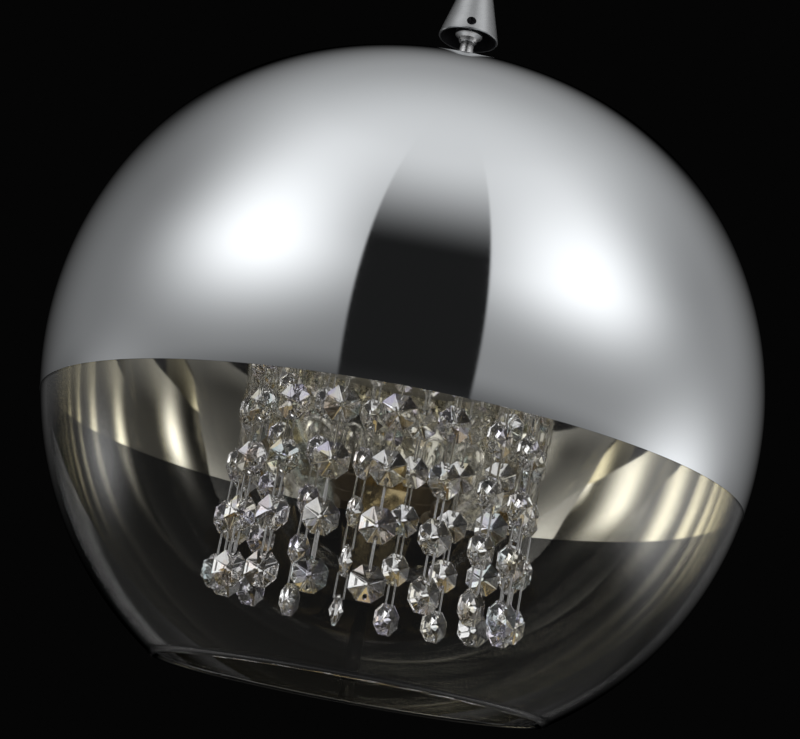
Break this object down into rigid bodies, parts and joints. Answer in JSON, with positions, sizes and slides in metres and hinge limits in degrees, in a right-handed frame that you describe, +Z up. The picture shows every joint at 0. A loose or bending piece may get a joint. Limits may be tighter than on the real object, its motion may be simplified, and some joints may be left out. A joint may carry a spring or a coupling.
{
  "type": "crystal pendant light",
  "caption": "Round pendant light: open-bottomed glass globe mirrored above its waist, hung from a cord cone, with capsule lamps and a ring of faceted crystal strands inside.",
  "frame": {"origin": "centre of the cord inlet's top face, on the globe's axis", "axes": "+Z up along the globe's axis and out of the cord inlet; -Y is the side with the set screw; the globe hangs below the origin"},
  "size_m": [0.2999, 0.3, 0.3198],
  "materials": {
    "clear_glass": "polished",
    "mirror_coating": "mirror",
    "satin_metal": "satin",
    "black_screw": "satin",
    "clear_bush": "gloss",
    "chrome": "polished",
    "gasket": "matte",
    "plate_gilt": "polished",
    "link_wire": "polished",
    "crystal": "cut and polished",
    "holder_ceramic": "glazed",
    "zinc_screw": "zinc plated",
    "terminal_plastic": "matte",
    "brass_screw": "plain",
    "lead_insulation": "matte",
    "lamp_glass": "clear"
  },
  "bodies": {
    "fixture": {"globe_glass": "clear_glass", "mirror_film": "mirror_coating", "suspension_cone": "satin_metal", "cone_base": "satin_metal", "set_screw": "black_screw", "cord_bush": "clear_bush", "hanging_stem": "chrome", "upper_washer": "chrome", "upper_gasket": "gasket", "centring_sleeve": "gasket", "lower_gasket": "gasket", "lower_washer": "chrome", "stem_nuts": "chrome", "crystal_plate": "plate_gilt", "strand_eyes": "link_wire", "lamp_holders": "holder_ceramic", "holder_screws": "zinc_screw", "terminal_block": "terminal_plastic", "terminal_screws": "brass_screw", "lead_wires": "lead_insulation"},
    "strand_01": {"strand_01_beads": "crystal", "strand_01_links": "link_wire"},
    "strand_02": {"strand_02_beads": "crystal", "strand_02_links": "link_wire"},
    "strand_03": {"strand_03_beads": "crystal", "strand_03_links": "link_wire"},
    "strand_04": {"strand_04_beads": "crystal", "strand_04_links": "link_wire"},
    "strand_05": {"strand_05_beads": "crystal", "strand_05_links": "link_wire"},
    "strand_06": {"strand_06_beads": "crystal", "strand_06_links": "link_wire"},
    "strand_07": {"strand_07_beads": "crystal", "strand_07_links": "link_wire"},
    "strand_08": {"strand_08_beads": "crystal", "strand_08_links": "link_wire"},
    "strand_09": {"strand_09_beads": "crystal", "strand_09_links": "link_wire"},
    "strand_10": {"strand_10_beads": "crystal", "strand_10_links": "link_wire"},
    "strand_11": {"strand_11_beads": "crystal", "strand_11_links": "link_wire"},
    "strand_12": {"strand_12_beads": "crystal", "strand_12_links": "link_wire"},
    "strand_13": {"strand_13_beads": "crystal", "strand_13_links": "link_wire"},
    "strand_14": {"strand_14_beads": "crystal", "strand_14_links": "link_wire"},
    "strand_15": {"strand_15_beads": "crystal", "strand_15_links": "link_wire"},
    "strand_16": {"strand_16_beads": "crystal", "strand_16_links": "link_wire"},
    "strand_17": {"strand_17_beads": "crystal", "strand_17_links": "link_wire"},
    "bulb_1": {"bulb_1": "lamp_glass"},
    "bulb_2": {"bulb_2": "lamp_glass"},
    "bulb_3": {"bulb_3": "lamp_glass"},
    "bulb_4": {"bulb_4": "lamp_glass"}
  },
  "joints": [
    {"name": "strand_01_swing", "type": "hinge", "parent": "fixture", "child": "strand_01", "pos_m": [0, -0.061, -0.1314], "axis": [-1, 0, 0], "range_deg": [-5, 15]},
    {"name": "strand_02_swing", "type": "hinge", "parent": "fixture", "child": "strand_02", "pos_m": [0.02204, -0.05688, -0.1314], "axis": [-0.9325, -0.3612, 0], "range_deg": [-5, 15]},
    {"name": "strand_03_swing", "type": "hinge", "parent": "fixture", "child": "strand_03", "pos_m": [0.0411, -0.04508, -0.1314], "axis": [-0.739, -0.6737, 0], "range_deg": [-5, 15]},
    {"name": "strand_04_swing", "type": "hinge", "parent": "fixture", "child": "strand_04", "pos_m": [0.0546, -0.02719, -0.1314], "axis": [-0.4457, -0.8952, 0], "range_deg": [-5, 15]},
    {"name": "strand_05_swing", "type": "hinge", "parent": "fixture", "child": "strand_05", "pos_m": [0.06074, -0.00563, -0.1314], "axis": [-0.0923, -0.9957, 0], "range_deg": [-5, 15]},
    {"name": "strand_06_swing", "type": "hinge", "parent": "fixture", "child": "strand_06", "pos_m": [0.05867, 0.01669, -0.1314], "axis": [0.2737, -0.9618, 0], "range_deg": [-5, 15]},
    {"name": "strand_07_swing", "type": "hinge", "parent": "fixture", "child": "strand_07", "pos_m": [0.04868, 0.03676, -0.1314], "axis": [0.6026, -0.798, 0], "range_deg": [-5, 15]},
    {"name": "strand_08_swing", "type": "hinge", "parent": "fixture", "child": "strand_08", "pos_m": [0.03211, 0.05186, -0.1314], "axis": [0.8502, -0.5264, 0], "range_deg": [-5, 15]},
    {"name": "strand_09_swing", "type": "hinge", "parent": "fixture", "child": "strand_09", "pos_m": [0.01121, 0.05996, -0.1314], "axis": [0.983, -0.1837, 0], "range_deg": [-5, 15]},
    {"name": "strand_10_swing", "type": "hinge", "parent": "fixture", "child": "strand_10", "pos_m": [-0.01121, 0.05996, -0.1314], "axis": [0.983, 0.1837, 0], "range_deg": [-5, 15]},
    {"name": "strand_11_swing", "type": "hinge", "parent": "fixture", "child": "strand_11", "pos_m": [-0.03211, 0.05186, -0.1314], "axis": [0.8502, 0.5264, 0], "range_deg": [-5, 15]},
    {"name": "strand_12_swing", "type": "hinge", "parent": "fixture", "child": "strand_12", "pos_m": [-0.04868, 0.03676, -0.1314], "axis": [0.6026, 0.798, 0], "range_deg": [-5, 15]},
    {"name": "strand_13_swing", "type": "hinge", "parent": "fixture", "child": "strand_13", "pos_m": [-0.05867, 0.01669, -0.1314], "axis": [0.2737, 0.9618, 0], "range_deg": [-5, 15]},
    {"name": "strand_14_swing", "type": "hinge", "parent": "fixture", "child": "strand_14", "pos_m": [-0.06074, -0.00563, -0.1314], "axis": [-0.0923, 0.9957, 0], "range_deg": [-5, 15]},
    {"name": "strand_15_swing", "type": "hinge", "parent": "fixture", "child": "strand_15", "pos_m": [-0.0546, -0.02719, -0.1314], "axis": [-0.4457, 0.8952, 0], "range_deg": [-5, 15]},
    {"name": "strand_16_swing", "type": "hinge", "parent": "fixture", "child": "strand_16", "pos_m": [-0.0411, -0.04508, -0.1314], "axis": [-0.739, 0.6737, 0], "range_deg": [-5, 15]},
    {"name": "strand_17_swing", "type": "hinge", "parent": "fixture", "child": "strand_17", "pos_m": [-0.02204, -0.05688, -0.1314], "axis": [-0.9325, 0.3612, 0], "range_deg": [-5, 15]},
    {"name": "bulb_1_pull", "type": "slide", "parent": "fixture", "child": "bulb_1", "axis": [0, 0, -1], "range_m": [0, 0.016]},
    {"name": "bulb_2_pull", "type": "slide", "parent": "fixture", "child": "bulb_2", "axis": [0, 0, -1], "range_m": [0, 0.016]},
    {"name": "bulb_3_pull", "type": "slide", "parent": "fixture", "child": "bulb_3", "axis": [0, 0, -1], "range_m": [0, 0.016]},
    {"name": "bulb_4_pull", "type": "slide", "parent": "fixture", "child": "bulb_4", "axis": [0, 0, -1], "range_m": [0, 0.016]}
  ]
}
